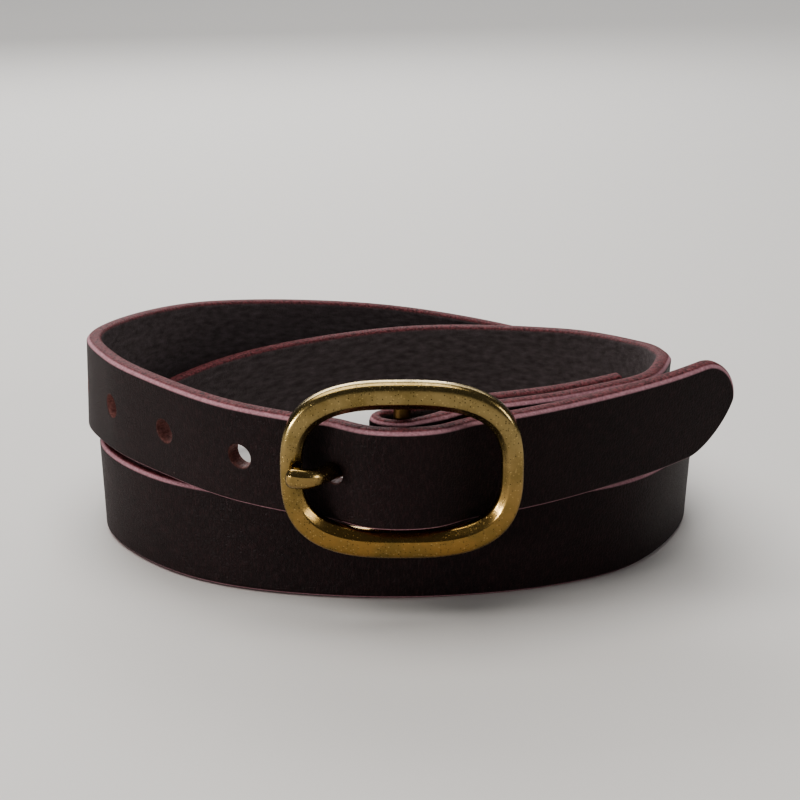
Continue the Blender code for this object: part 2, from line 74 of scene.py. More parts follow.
# Knots near the buckle: distance right of the bar, distance proud of the frame's plane, height of
# the lower edge and lean in degrees. The tail is the free end, the leg is the end folded back
# behind the bar, the start is the layer in front of the leg, and the approach is the part that
# comes into the buckle from the left.
TAIL_KNOTS = (
    (8.0, 0.6, 23.2, 6.0),
    (16.0, -4.5, 23.6, 6.0),
    (23.0, -6.7, 24.1, 6.0),
    (36.0, -11.8, 25.2, 6.5),
    (50.0, -18.9, 26.6, 8.0),
    (64.0, -27.5, 28.1, 9.0),
    (82.2, -39.8, 31.3, 10.0),
)
LEG_KNOTS = (
    (51.5, -30.2, 27.3, 7.0),
    (47.0, -27.4, 27.0, 6.5),
    (36.0, -21.7, 26.5, 6.0),
    (23.0, -17.0, 26.2, 6.0),
    (16.0, -14.8, 26.0, 6.0),
    (8.0, -11.1, 25.4, 6.0),
)
START_KNOTS = (
    (8.0, -4.5, 24.7, 6.0),
    (16.0, -9.9, 25.5, 6.0),
    (23.0, -12.0, 25.7, 6.0),
    (36.0, -16.7, 26.1, 6.5),
    (47.0, -22.3, 26.7, 7.5),
    (58.0, -29.4, 27.3, 8.0),
)
BAR_BEND_REACH = 6.2
BAR_BEND_ANGLES = (270.0, 240.0, 210.0, 180.0, 150.0, 120.0, 90.0)
# Knots round the coil: degrees from the front, distance from the middle, height of the lower edge
# and lean.
TURN_KNOTS = (
    (62.0, 73.2, 26.6, 6.0),
    (78.0, 68.8, 23.2, 1.0),
    (100.0, 66.7, 18.7, -2.0),
    (135.0, 65.5, 13.8, -5.0),
    (180.0, 64.5, 10.0, -8.0),
    (225.0, 68.0, 6.2, -8.0),
    (258.0, 75.4, 2.0, -3.0),
    (283.0, 79.2, 0.0, 2.5),
    (307.0, 76.3, 0.0, 3.5),
    (327.0, 71.8, 0.0, 0.5),
    (360.0, 66.6, 0.0, 0.0),
    (392.0, 70.3, 0.0, 4.0),
    (414.0, 74.2, 0.0, 6.0),
    (450.0, 76.0, 0.0, 2.5),
    (495.0, 77.8, 5.8, -3.5),
    (540.0, 79.8, 12.4, -6.0),
    (585.0, 81.2, 19.4, -6.0),
    (630.0, 82.2, 25.0, -2.0),
    (652.0, 79.6, 26.2, 2.0),
    (670.0, 77.4, 25.9, 5.0),
    (688.0, 77.8, 24.7, 6.0),
)
APPROACH_KNOTS = (
    (-23.0, -6.7, 23.7, 6.0),
    (-16.0, -4.5, 23.4, 6.0),
    (-8.0, 0.6, 23.1, 6.0),
    (0.0, 1.8, 23.0, 6.0),
)


def front_place(across, proud):
    """Plan position of a place right of the bar and proud of the frame's middle plane."""
    return COIL_X + across, COIL_Y - (FRAME_PLANE + proud)


def polar_place(degrees, radius):
    """Plan position of a place round the coil."""
    turn = math.radians(degrees)
    return COIL_X + radius * math.sin(turn), COIL_Y - radius * math.cos(turn)


def strap_knots():
    """Knots of the strap's middle line in order: x, y, height of the lower edge, lean."""
    bend_depth = BAR_RADIUS + GAP + SKIVED_THICKNESS / 2
    bend = []
    for degrees in BAR_BEND_ANGLES:
        turn = math.radians(degrees)
        reach = bend_depth * math.sin(turn)
        low = FOLD_LOW - reach * math.sin(math.radians(BUCKLE_LEAN))
        place = front_place(BAR_BEND_REACH * math.cos(turn), reach - BAR_SETBACK)
        bend.append((*place, low, BUCKLE_LEAN))
    knots = [(*front_place(a, p), low, lean) for a, p, low, lean in LEG_KNOTS] + bend
    knots += [(*front_place(a, p), low, lean) for a, p, low, lean in START_KNOTS]
    knots += [(*polar_place(d, r), low, lean) for d, r, low, lean in TURN_KNOTS]
    knots += [(*front_place(a, p), low, lean) for a, p, low, lean in APPROACH_KNOTS + TAIL_KNOTS]
    return np.array(knots)


def hermite(ends, slopes, t):
    """Smooth curve between two rows whose slopes are given, at shares t of the way."""
    return (ends[0] * (1 + 2 * t) * (1 - t) ** 2
            + slopes[0] * t * (1 - t) ** 2
            + ends[1] * t ** 2 * (3 - 2 * t)
            + slopes[1] * t ** 2 * (t - 1))


class StrapPath:
    """The strap's middle line, read by the distance along it."""

    def __init__(self):
        knots = strap_knots()
        spans = np.linalg.norm(np.diff(knots[:, :3], axis=0), axis=1)
        marks = np.concatenate([[0.0], np.cumsum(np.sqrt(spans))])
        slopes = np.gradient(knots, marks, axis=0)
        rows = []
        for i, span in enumerate(spans):
            width = marks[i + 1] - marks[i]
            t = np.arange(0.0, 1.0, SAMPLE_SPACING / span)[:, None]
            rows.append(hermite(knots[i:i + 2], slopes[i:i + 2] * width, t))
        rows.append(knots[-1:])
        self.samples = np.vstack(rows)
        self.samples[:, 2] = np.maximum(self.samples[:, 2], 0.0)
        steps = np.linalg.norm(np.diff(self.samples[:, :3], axis=0), axis=1)
        self.distances = np.concatenate([[0.0], np.cumsum(steps)])
        self.length = float(self.distances[-1])
        tangents = np.gradient(self.samples[:, :2], self.distances, axis=0)
        self.tangents = tangents / np.linalg.norm(tangents, axis=1)[:, None]

    def nearest(self, place, first, last):
        """Distance along the path of its nearest point to a plan place, between two distances."""
        away = np.linalg.norm(self.samples[:, :2] - np.array(place), axis=1)
        away[(self.distances < first) | (self.distances > last)] = np.inf
        return float(self.distances[int(np.argmin(away))])

    def frames(self, u):
        """Middle points and the directions up and out of the strap, for many distances."""
        x, y, low, lean = (np.interp(u, self.distances, column) for column in self.samples.T)
        columns = [np.interp(u, self.distances, column) for column in self.tangents.T]
        tangent = np.stack(columns, axis=1)
        tangent /= np.linalg.norm(tangent, axis=1)[:, None]
        zero = np.zeros(len(x))
        along = np.stack([tangent[:, 0], tangent[:, 1], zero], axis=1)
        level = np.stack([tangent[:, 1], -tangent[:, 0], zero], axis=1)
        radial = np.stack([x - COIL_X, y - COIL_Y, zero], axis=1)
        radial /= np.linalg.norm(radial, axis=1)[:, None]
        sheared = np.array([0.0, 0.0, 1.0]) + radial * np.tan(np.radians(lean))[:, None]
        clear = np.minimum(low / TILT_HEIGHT, 1.0)[:, None]
        leaning = sheared / np.linalg.norm(sheared, axis=1)[:, None]
        up = sheared * (1 - clear) + leaning * clear
        tilted = np.cross(along, sheared)
        tilted /= np.linalg.norm(tilted, axis=1)[:, None]
        outward = level * (1 - clear) + tilted * clear
        middle = np.stack([x, y, low + STRAP_WIDTH / 2], axis=1)
        return middle, up, outward


PATH = StrapPath()
END_STRETCH = 140.0
LEFT_OF_BAR = (COIL_X - 2 * BAR_RADIUS, front_place(0.0, -BAR_SETBACK)[1])
FOLD_MIDDLE = PATH.nearest(LEFT_OF_BAR, 0.0, END_STRETCH)
TAIL_STRETCH = (PATH.length - END_STRETCH, PATH.length)
PRONG_HOLE_PLACE = (-14.6, -3.5)
PRONG_HOLE = PATH.nearest(front_place(*PRONG_HOLE_PLACE), *TAIL_STRETCH)
END_PIECE_PLACE = (25.5, -7.7)
END_PIECE_START = PATH.nearest(front_place(*END_PIECE_PLACE), *TAIL_STRETCH)
FLEX_END_PLACE = (46.0, -17.0)
FLEX_END = PATH.nearest(front_place(*FLEX_END_PLACE), *TAIL_STRETCH)
FLEX_START_INSET = 2.0

# ---------------------------------------------------------------- strap shape
EDGE_REACH = 1.25
# Edge section: reach past the flat face, height over the middle and colour zone, which is 0 on the
# face, 1 on the bevel, 1.5 on the edge and 3 on the back.
BACK_ZONE = 3.0
EDGE_SECTION = (
    (0.10, 1.98, 0.08),
    (0.26, 1.88, 0.45),
    (0.52, 1.66, 0.85),
    (0.80, 1.40, 1.02),
    (1.00, 1.16, 1.18),
    (1.13, 0.92, 1.35),
    (1.20, 0.62, 1.45),
    (1.25, 0.05, 1.50),
    (1.24, -0.60, 1.50),
    (1.17, -1.15, 1.60),
    (0.98, -1.58, 1.90),
    (0.66, -1.84, 2.50),
    (0.28, -1.97, 2.90),
)
# The lower edge's front bevel takes little of the bevel colour: painted shade on the side facing
# down.
LOW_BEVEL_PAINTED_SHADE = 0.15

# Mesh of the face: square cells in its middle, a few wider lines outside them and a support line.
CELL = 1.25
MIDDLE_CELLS = 6
OUTER_LINES = 3
SUPPORT = 0.18
CELL_SLACK = 0.01
SMALLEST_GAP = 0.001
POINT_LENGTH = 12.5
POINT_SECTIONS = 24
POINT_ALONG_POWER = 1.15
POINT_ACROSS_POWER = 1.3
OUTLINE_STEP = 0.0005
STATION_SPACING = 1.8
STRAP_SHARP_ANGLE = 50.0
WELD_DISTANCE = 0.000001

# Holes: each is a slot round a spine along the strap, and a round hole's spine has no length. Its
# block is the square of cells that it is punched in, given as half the block's height in cells.
FREE_HOLES = 4
HOLE_SPACING = 25.0
HOLE_RADIUS = 3.0
PRONG_HOLE_SHIFT = 0.45
PRONG_HOLE_SPINE = 0.3
PRONG_HOLE_RADIUS = 2.6
SLOT_SPINE = 11.0
SLOT_RADIUS = 4.1
POST_DISTANCES = (26.5, 44.5)
POST_CLEARANCE_RADIUS = 4.75
SMALL_HOLE_LIMIT = 3.5
SMALL_BLOCK = 4
LARGE_BLOCK = 6
RIM_ROUND = 0.35
RIM_STEPS = 3
RIM_BARE_SHARE = 0.25
# Support lines round a rim, as distances from it; lines on a wall, as shares of its half height.
RIM_LINES = (0.9, 0.12)
WALL_LINES = (0.4, -0.2)


def leather_thickness(u):
    """Thickness along the strap, pared down where it bends round the bar."""
    full = np.clip((np.abs(u - FOLD_MIDDLE) - SKIVE_HALF_LENGTH) / SKIVE_FADE, 0.0, 1.0)
    return SKIVED_THICKNESS + (STRAP_THICKNESS - SKIVED_THICKNESS) * full


def face_lines():
    """Places across the flat face from edge to edge, with a support line beside each edge."""
    half = STRAP_WIDTH / 2 - EDGE_REACH
    inner = np.arange(-MIDDLE_CELLS, MIDDLE_CELLS + 1) * CELL
    outer = np.linspace(MIDDLE_CELLS * CELL, half - SUPPORT, OUTER_LINES + 1)[1:]
    return np.concatenate([[-half], -outer[::-1], inner, outer, [half]])


def low_zone_with_painted_shade(zone):
    """Colour zone of the lower edge, whose front bevel is darker than the upper one's, as painted
    shade.
    """
    return zone * LOW_BEVEL_PAINTED_SHADE if zone <= 1.0 else zone


class Blank:
    """The flat strap blank: places (u along, v across, w outwards), colour zones and faces."""

    def __init__(self):
        self.places = []
        self.zones = []
        self.faces = []

    def add(self, u, v, w, edge=0.0, wall=0.0):
        """Add a place and return its number."""
        self.places.append((u, v, w))
        self.zones.append((edge, wall))
        return len(self.places) - 1


def point_place(share):
    """Place on the pointed end's outline, from shoulder at 0 to tip at 1: along and across."""
    turn = math.pi / 2 * share
    along = POINT_LENGTH * math.sin(turn) ** POINT_ALONG_POWER
    return np.array([along, STRAP_WIDTH / 2 * math.cos(turn) ** POINT_ACROSS_POWER])


def station_outline(u, straight_end):
    """Place along, half width of the face and outline's normal of one cross-section."""
    if u <= straight_end:
        return u, STRAP_WIDTH / 2 - EDGE_REACH, (0.0, 1.0)
    share = (u - straight_end) / POINT_LENGTH
    here = point_place(share)
    if share > 1.0 - OUTLINE_STEP:
        return straight_end + here[0] - EDGE_REACH, 0.0, (1.0, 0.0)
    run = point_place(share + OUTLINE_STEP) - point_place(share - OUTLINE_STEP)
    normal = np.array([-run[1], run[0]]) / np.linalg.norm(run)
    place = np.array([straight_end, 0.0]) + here - normal * EDGE_REACH
    return place[0], max(place[1], 0.0), tuple(normal)


def blank_stations(first, last, blocks):
    """Distances of the cross-sections: on each punched block's cells and evenly between blocks."""
    marks = [first]
    for centre, half_length in blocks:
        count = round(2 * half_length / CELL) + 1
        marks += list(np.linspace(centre - half_length, centre + half_length, count))
    marks.append(last)
    stations = [marks[0]]
    for mark in marks[1:]:
        gap = mark - stations[-1]
        if gap > CELL + CELL_SLACK:
            from_fold = abs((mark + stations[-1]) / 2 - FOLD_MIDDLE)
            bend = from_fold < SKIVE_HALF_LENGTH + SKIVE_FADE + gap / 2
            count = math.ceil(gap / (CELL if bend else STATION_SPACING))
            stations += list(np.linspace(stations[-1], mark, count + 1)[1:])
        elif gap > SMALLEST_GAP:
            stations.append(mark)
    return stations


def block_cells(radius):
    """Half height in cells of the block that a hole is punched in."""
    return SMALL_BLOCK if radius < SMALL_HOLE_LIMIT else LARGE_BLOCK


def punch(blank, top, bottom, columns, rows, centre, spine, radius):
    """Fill a block of both faces round a hole, with rolled rims and the wall between them."""
    loop = [(i, rows[0]) for i in columns]
    loop += [(columns[-1], j) for j in rows[1:]]
    loop += [(i, rows[-1]) for i in columns[-2::-1]]
    loop += [(columns[0], j) for j in rows[-2:0:-1]]
    count = len(loop)
    half = STRAP_THICKNESS / 2

    def ring(reach, height, wall, edge=0.0):
        """Numbers of new places round the hole, at a reach from its spine."""
        numbers = []
        for i, j in loop:
            u, v, _ = blank.places[top[i][j]]
            core = min(max(u - centre, -spine), spine)
            out = np.array([u - centre - core, v])
            out /= np.linalg.norm(out)
            place = (centre + core + out[0] * reach, out[1] * reach, height)
            numbers.append(blank.add(*place, edge, wall))
        return numbers

    rim = []
    for i in range(RIM_STEPS + 1):
        turn = math.radians(90 * i / RIM_STEPS)
        reach = radius + RIM_ROUND * (1 - math.sin(turn))
        rim.append((reach, RIM_ROUND * (1 - math.cos(turn)), RIM_BARE_SHARE * i / RIM_STEPS))

    rings = [[top[i][j] for i, j in loop]]
    rings += [ring(radius + RIM_ROUND + line, half, 0.0) for line in RIM_LINES]
    rings += [ring(reach, half - drop, wall) for reach, drop, wall in rim]
    rings += [ring(radius, half * share, 1.0) for share in WALL_LINES]
    rings += [ring(reach, drop - half, wall, BACK_ZONE) for reach, drop, wall in rim[::-1]]
    rings.append(ring(radius + RIM_ROUND + RIM_LINES[-1], -half, 0.0, BACK_ZONE))
    rings.append([bottom[i][j] for i, j in loop])
    for first, second in zip(rings, rings[1:]):
        for k in range(count):
            following = (k + 1) % count
            blank.faces.append((first[k], first[following], second[following], second[k]))


def make_blank(first, last, holes, pointed):
    """The flat blank between two distances, with holes (centre, half length of spine, radius)."""
    blank = Blank()
    lines = face_lines()
    straight_end = PATH.length - POINT_LENGTH if pointed else last
    blocks = [(centre, spine + block_cells(radius) * CELL) for centre, spine, radius in holes]
    stations = blank_stations(first, min(last, straight_end), blocks)
    if pointed:
        shares = np.linspace(0.0, 1.0, POINT_SECTIONS + 1)[1:]
        stations += list(straight_end + POINT_LENGTH * shares)
    half = STRAP_THICKNESS / 2
    top, bottom, high_edge, low_edge = [], [], [], []
    for u in stations:
        along, reach, (nu, nv) = station_outline(u, straight_end)
        across = lines / lines[-1] * reach
        top.append([blank.add(along, v, half) for v in across])
        bottom.append([blank.add(along, v, -half, BACK_ZONE) for v in across])
        high_edge.append([blank.add(along + nu * d, reach + nv * d, w, zone)
                          for d, w, zone in EDGE_SECTION])
        low_edge.append([blank.add(along + nu * d, -reach - nv * d, w, low_zone_with_painted_shade(zone))
                         for d, w, zone in EDGE_SECTION])
    taken = set()
    for centre, spine, radius in holes:
        reach = block_cells(radius) * CELL + CELL_SLACK
        rows = [j for j, v in enumerate(lines) if abs(v) <= reach]
        columns = [i for i, u in enumerate(stations) if abs(u - centre) <= spine + reach]
        taken.update((i, j) for i in columns[:-1] for j in rows[:-1])
        punch(blank, top, bottom, columns, rows, centre, spine, radius)
    last_line = len(lines) - 1
    for i in range(len(stations) - 1):
        front, next_front, back, next_back = top[i], top[i + 1], bottom[i], bottom[i + 1]
        for j in range(last_line):
            if (i, j) not in taken:
                blank.faces.append((front[j], next_front[j], next_front[j + 1], front[j + 1]))
                blank.faces.append((back[j], back[j + 1], next_back[j + 1], next_back[j]))
        for side, line, flip in ((high_edge, last_line, False), (low_edge, 0, True)):
            now = [top[i][line]] + side[i] + [bottom[i][line]]
            following = [top[i + 1][line]] + side[i + 1] + [bottom[i + 1][line]]
            for k in range(len(now) - 1):
                quad = (now[k], following[k], following[k + 1], now[k + 1])
                blank.faces.append(quad[::-1] if flip else quad)
    for i, reverse in ((0, False), (len(stations) - 1, True)):
        if i and pointed:
            continue
        rim = top[i] + high_edge[i] + bottom[i][::-1] + low_edge[i][::-1]
        blank.faces.append(tuple(rim[::-1]) if reverse else tuple(rim))
    return blank


def wind(blank):
    """World places in metres of a blank's flat places, and the flat places."""
    flat = np.array(blank.places)
    middle, up, outward = PATH.frames(flat[:, 0])
    proud = flat[:, 2] * leather_thickness(flat[:, 0]) / STRAP_THICKNESS
    return (middle + up * flat[:, 1:2] + outward * proud[:, None]) * MM, flat


def add_object(name, data):
    """A new object in the scene, for a mesh, light or camera."""
    made = bpy.data.objects.new(name, data)
    bpy.context.scene.collection.objects.link(made)
    return made


def face_outwards(mesh, weld=0.0):
    """Turn a mesh's faces outwards, after welding the places that are closer than a distance."""
    shape = bmesh.new()
    shape.from_mesh(mesh)
    if weld:
        bmesh.ops.remove_doubles(shape, verts=shape.verts, dist=weld)
    bmesh.ops.recalc_face_normals(shape, faces=shape.faces)
    shape.to_mesh(mesh)
    shape.free()


def strap_object(name, blank, surface):
    """A mesh object from a blank, wound, with its flat places as UV and its zones as attributes."""
    places, flat = wind(blank)
    mesh = bpy.data.meshes.new(name)
    mesh.from_pydata([tuple(p) for p in places], [], blank.faces)
    uv = mesh.uv_layers.new(name="UVMap")
    numbers = np.zeros(len(mesh.loops), dtype=np.int32)
    mesh.loops.foreach_get("vertex_index", numbers)
    uv.data.foreach_set("uv", (flat[numbers][:, :2] * MM).astype(np.float32).ravel())
    zones = np.array(blank.zones)
    for column, label in enumerate(("edge", "wall")):
        attribute = mesh.attributes.new(label, "FLOAT", "POINT")
        attribute.data.foreach_set("value", zones[:, column].astype(np.float32))
    face_outwards(mesh, WELD_DISTANCE)
    mesh.shade_smooth()
    mesh.set_sharp_from_angle(angle=math.radians(STRAP_SHARP_ANGLE))
    mesh.materials.append(surface)
    return add_object(name, mesh)


# ---------------------------------------------------------------- materials
class Nodes:
    """Short way to build a material's nodes."""

    def __init__(self, name):
        self.material = bpy.data.materials.new(name)
        self.material.use_nodes = True
        self.tree = self.material.node_tree
        self.shader = self.tree.nodes["Principled BSDF"]

    def node(self, kind, inputs=None, **settings):
        """Add a node; inputs are values or output sockets."""
        made = self.tree.nodes.new(kind)
        for key, value in settings.items():
            setattr(made, key, value)
        for key, value in (inputs or {}).items():
            if isinstance(value, bpy.types.NodeSocket):
                self.tree.links.new(value, made.inputs[key])
            else:
                made.inputs[key].default_value = value
        return made

    def set(self, **values):
        """Set constants on the shader, by socket name with underscores."""
        for key, value in values.items():
            self.shader.inputs[key.replace("_", " ")].default_value = value

    def link(self, socket, name):
        """Link an output to one of the shader's inputs."""
        self.tree.links.new(socket, self.shader.inputs[name])

    def scaled(self, source, scale):
        """Texture space stretched by a scale for each axis."""
        return self.node("ShaderNodeMapping", {"Vector": source, "Scale": scale}).outputs["Vector"]

    def noise(self, vector, scale, detail=3.0, roughness=0.55):
        """Value of a noise texture."""
        inputs = {"Vector": vector, "Scale": scale, "Detail": detail, "Roughness": roughness}
        return self.node("ShaderNodeTexNoise", inputs).outputs["Fac"]

    def voronoi(self, vector, scale, feature):
        """A Voronoi texture node."""
        inputs = {"Vector": vector, "Scale": scale}
        return self.node("ShaderNodeTexVoronoi", inputs, feature=feature)

    def red(self, colour):
        """Red part of a colour, used as one random number for each cell of a texture."""
        return self.node("ShaderNodeSeparateColor", {"Color": colour}).outputs["Red"]

    def ramp(self, value, low, high, colours):
        """Colour of a value that goes from the first colour at low to the second at high."""
        made = self.node("ShaderNodeValToRGB", {"Fac": value})
        for element, place, colour in zip(made.color_ramp.elements, (low, high), colours):
            element.position, element.color = place, (*colour, 1.0)
        return made.outputs["Color"]

    def levels(self, value, low, high, out_low=0.0, out_high=1.0):
        """Value moved from one range to another and clamped."""
        inputs = {"Value": value, "From Min": low, "From Max": high,
                  "To Min": out_low, "To Max": out_high}
        return self.node("ShaderNodeMapRange", inputs).outputs["Result"]

    def math(self, operation, first, second):
        """One calculation with two values."""
        made = self.node("ShaderNodeMath", {0: first, 1: second}, operation=operation)
        return made.outputs["Value"]

    def mix(self, factor, first, second):
        """Mix of two colours."""
        made = self.node("ShaderNodeMix", {"Factor": factor}, data_type="RGBA")
        for index, value in ((6, first), (7, second)):
            if isinstance(value, bpy.types.NodeSocket):
                self.tree.links.new(value, made.inputs[index])
            else:
                made.inputs[index].default_value = (*value, 1.0)
        return made.outputs[2]

    def bump(self, height, distance, strength=1.0, normal=None):
        """Surface relief from a height."""
        inputs = {"Height": height, "Distance": distance, "Strength": strength}
        if normal is not None:
            inputs["Normal"] = normal
        return self.node("ShaderNodeBump", inputs).outputs["Normal"]


# Leather colours, each as its darkest and its lightest, and the colours of streaks and dust.
FACE_COLOURS = ((0.0062, 0.0023, 0.0026), (0.0120, 0.0045, 0.0049))
BURNISHED_COLOURS = ((0.026, 0.007, 0.008), (0.170, 0.046, 0.052))
BEVEL_COLOURS = ((0.270, 0.135, 0.156), (0.430, 0.245, 0.275))
FLESH_COLOURS = ((0.052, 0.041, 0.042), (0.120, 0.100, 0.103))
BARE_COLOURS = ((0.090, 0.036, 0.034), (0.250, 0.115, 0.100))
STREAK_COLOUR = (0.038, 0.016, 0.017)
DUST_COLOUR = (0.22, 0.17, 0.15)


def leather_material():
    """Waxed bridle leather: dark face with fine grain, burnished rose edges, bare hole walls.

    Texture scales are in cells to the metre, so a scale of 2000 gives details of half a millimetre.
    """
    m = Nodes("bridle_leather")
    flat = m.node("ShaderNodeUVMap", uv_map="UVMap").outputs["UV"]
    edge = m.node("ShaderNodeAttribute", attribute_name="edge").outputs["Fac"]
    wall = m.node("ShaderNodeAttribute", attribute_name="wall").outputs["Fac"]
    solid = m.node("ShaderNodeTexCoord").outputs["Object"]

    cloud = m.noise(flat, 55.0, 4.0)
    streak = m.noise(m.scaled(flat, (1.0, 0.20, 1.0)), 2100.0, 4.0, 0.60)
    cells = m.voronoi(m.scaled(flat, (1.0, 0.7, 1.0)), 1500.0, "DISTANCE_TO_EDGE")
    pores = cells.outputs["Distance"]
    fine = m.noise(flat, 3200.0, 3.0)
    fibre = m.noise(m.scaled(flat, (0.4, 1.0, 1.0)), 700.0, 5.0)
    rough_edge = m.noise(solid, 1400.0, 4.0, 0.65)
    on_back = m.levels(edge, 2.2, 2.9)

    face = m.ramp(cloud, 0.25, 0.75, FACE_COLOURS)
    face = m.mix(m.levels(streak, 0.48, 0.68, 0.0, 0.50), face, STREAK_COLOUR)
    dust = m.voronoi(flat, 260.0, "F1")
    speck = m.levels(dust.outputs["Distance"], 0.03, 0.05, 1.0, 0.0)
    rare = m.levels(m.red(dust.outputs["Color"]), 0.93, 0.94)
    face = m.mix(m.math("MULTIPLY", m.math("MULTIPLY", speck, rare), 0.55), face, DUST_COLOUR)

    colour = m.mix(m.levels(edge, 0.05, 0.7), face, m.ramp(rough_edge, 0.3, 0.7, BEVEL_COLOURS))
    burnished = m.ramp(rough_edge, 0.34, 0.66, BURNISHED_COLOURS)
    colour = m.mix(m.levels(edge, 1.02, 1.25), colour, burnished)
    colour = m.mix(on_back, colour, m.ramp(fibre, 0.3, 0.75, FLESH_COLOURS))
    colour = m.mix(m.levels(wall, 0.02, 0.3), colour, m.ramp(rough_edge, 0.3, 0.7, BARE_COLOURS))
    m.link(colour, "Base Color")

    rough = m.levels(fine, 0.3, 0.7, 0.44, 0.56)
    rough = m.math("ADD", rough, m.levels(edge, 0.0, 0.6, 0.0, 0.10))
    rough = m.math("ADD", rough, m.math("MULTIPLY", on_back, 0.12))
    m.link(rough, "Roughness")
    m.set(Specular_IOR_Level=0.16)

    pitted = m.math("MULTIPLY", m.levels(pores, 0.0, 0.12), 0.55)
    grain = m.math("ADD", pitted, m.math("MULTIPLY", fine, 0.45))
    grain = m.math("ADD", grain, m.math("MULTIPLY", streak, 0.8))
    normal = m.bump(grain, 0.00012, 1.0)
    normal = m.bump(m.noise(flat, 120.0, 3.0), 0.00018, 0.6, normal)
    normal = m.bump(m.math("MULTIPLY", rough_edge, m.levels(edge, 0.1, 1.0)), 0.00022, 0.8, normal)
    m.link(normal, "Normal")
    return m.material


# Brass colours and roughnesses.
BUCKLE_FINISH = ((0.30, 0.225, 0.100), 0.19)
# The bar and its lugs are darker and rougher; the darker colour is painted shade between the rail
# and the strap.
BAR_PAINTED_SHADE = ((0.16, 0.10, 0.04), 0.40)
SCREW_FINISH = ((0.56, 0.38, 0.14), 0.28)
# Factors on the brass colour: low down (painted reflection), where tarnished, in the pits and at
# the specks (painted glints).
PAINTED_REFLECTION_TINT = (1.06, 0.84, 0.62)
TARNISH_TINT = (0.62, 0.60, 0.48)
PIT_SHADE = 0.2
PAINTED_GLINT_GAIN = 2.2
PAINTED_GLINT_LIMIT = 0.9


def tinted(colour, tint):
    """A colour with its channels multiplied."""
    return tuple(c * k for c, k in zip(colour, tint))


def brass_material(name, colour, roughness):
    """Polished solid brass, warmer low down as a painted reflection, with casting pits, painted
    glints, scratches and some tarnish.
    """
    m = Nodes(name)
    solid = m.node("ShaderNodeTexCoord").outputs["Object"]
    height = m.node("ShaderNodeSeparateXYZ", {"Vector": solid}).outputs["Z"]
    # Painted warm reflection: the brass is warmer below 18 mm and plain above 46 mm.
    base = m.mix(m.levels(height, 0.018, 0.046), tinted(colour, PAINTED_REFLECTION_TINT), colour)
    cloud = m.noise(solid, 170.0, 4.0)
    base = m.mix(m.levels(cloud, 0.42, 0.70, 0.0, 0.8), base, tinted(colour, TARNISH_TINT))
    specks = m.voronoi(solid, 1700.0, "F1")
    spot = m.levels(specks.outputs["Distance"], 0.18, 0.34, 1.0, 0.0)
    lot = m.red(specks.outputs["Color"])
    pit = m.math("MULTIPLY", spot, m.levels(lot, 0.62, 0.66))
    # Specks with a low random number are brightened as painted glints; those with a high one are
    # dark pits.
    painted_glint = m.math("MULTIPLY", spot, m.levels(lot, 0.30, 0.26))
    base = m.mix(m.math("MULTIPLY", pit, 0.75), base, tuple(c * PIT_SHADE for c in colour))
    painted_glint_colour = tuple(min(c * PAINTED_GLINT_GAIN, PAINTED_GLINT_LIMIT) for c in colour)
    base = m.mix(m.math("MULTIPLY", painted_glint, 0.45), base, painted_glint_colour)
    m.link(base, "Base Color")

    rough = m.levels(cloud, 0.3, 0.7, roughness - 0.03, roughness + 0.09)
    m.link(m.math("ADD", rough, m.math("MULTIPLY", pit, 0.2)), "Roughness")
    m.set(Metallic=1.0)

    fine = m.noise(solid, 2600.0, 3.0)
    scratches = m.noise(m.scaled(solid, (1.0, 1.0, 0.06)), 3800.0, 2.0)
    relief = m.math("ADD", m.math("MULTIPLY", fine, 0.5), m.math("MULTIPLY", scratches, 0.5))
    relief = m.math("SUBTRACT", relief, m.math("MULTIPLY", pit, 1.6))
    normal = m.bump(relief, 0.000016, 0.9)
    normal = m.bump(m.noise(solid, 260.0, 2.0), 0.00006, 0.5, normal)
    m.link(normal, "Normal")
    return m.material


FLOOR_COLOUR = (0.60, 0.585, 0.565, 1.0)


def floor_material():
    """Plain pale floor."""
    m = Nodes("pale_floor")
    m.set(Base_Color=FLOOR_COLOUR, Roughness=0.7)
    return m.material


# ---------------------------------------------------------------- buckle
# The frame is a ring between two squared ovals; a power of 2 is an ellipse, a higher one squarer.
FRAME_WIDTH = 56.6
FRAME_HEIGHT = 44.6
SIDE_RAIL = 5.3
TOP_RAIL = 6.9
OUTER_POWER = 2.8
INNER_POWER = 3.0
STRAP_SITS_LOW = 0.9
OUTLINE_POINTS = 240
BUCKLE_SHARP_ANGLE = 50.0


def oval_place(turn, half_width, half_height, power):
    """Place on a squared oval."""
    cosine, sine = math.cos(turn), math.sin(turn)
    return np.array([half_width * math.copysign(abs(cosine) ** (2 / power), cosine),
                     half_height * math.copysign(abs(sine) ** (2 / power), sine)])


# Rail section: side (0 outer, 1 inner), distance in from that side and height over the frame's
# middle.
RAIL_SECTION = (
    (0, 0.00, -0.60),
    (0, 0.00, 0.35),
    (0, 0.10, 0.85),
    (0, 0.32, 1.25),
    (0, 0.65, 1.58),
    (0, 1.05, 1.80),
    (0, 1.55, 1.94),
    (0, 2.20, 2.05),
    (1, 2.80, 2.10),
    (1, 2.25, 2.06),
    (1, 1.95, 1.97),
    (1, 1.65, 1.76),
    (1, 1.05, 1.18),
    (1, 0.50, 0.72),
    (1, 0.14, 0.40),
    (1, 0.00, 0.00),
    (1, 0.00, -1.40),
    (1, 0.20, -1.90),
    (1, 0.70, -2.10),
    (0, 0.90, -2.10),
    (0, 0.25, -1.80),
    (0, 0.00, -1.20),
)


